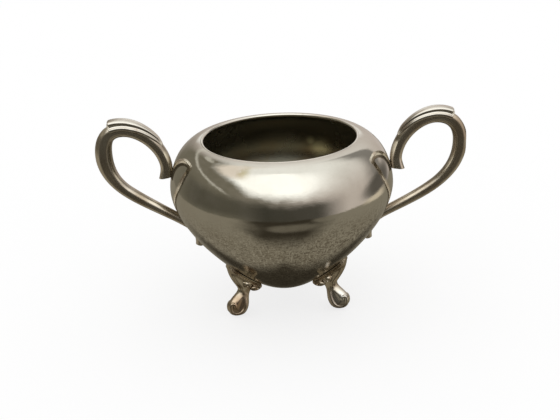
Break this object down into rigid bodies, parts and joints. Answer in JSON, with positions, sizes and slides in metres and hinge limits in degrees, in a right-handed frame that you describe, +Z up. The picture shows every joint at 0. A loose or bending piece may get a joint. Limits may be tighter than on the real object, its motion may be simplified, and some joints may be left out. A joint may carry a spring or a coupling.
{
  "type": "sugar bowl",
  "caption": "Open round-bellied sugar bowl with an in-turned shoulder, C-scroll handles with thumb leaves, and cast scroll feet, in worn silver plate.",
  "frame": {"origin": "centre of the floor circle: on the bowl's axis, level with the undersides of the toes", "axes": "+Z up along the bowl's axis, X through both handles with the right handle on +X, and -Y through the gap between the two front feet"},
  "size_m": [0.1906, 0.115, 0.1053],
  "materials": {
    "bowl_plate": "silver plate, worn and tarnished, brushed by hand polishing",
    "rim_plate": "silver plate, polished bright by use",
    "handle_plate": "silver plate, toned bronze-grey where worn",
    "leaf_plate": "silver plate, polished bright on the ribs",
    "foot_plate": "silver plate, toned bronze-grey where worn"
  },
  "bodies": {
    "root": {"bowl_body": "bowl_plate", "rim_wire": "rim_plate", "left_handle": "handle_plate", "right_handle": "handle_plate", "left_thumb_leaf": "leaf_plate", "right_thumb_leaf": "leaf_plate", "front_left_foot": "foot_plate", "front_right_foot": "foot_plate", "rear_foot": "foot_plate"}
  },
  "joints": []
}
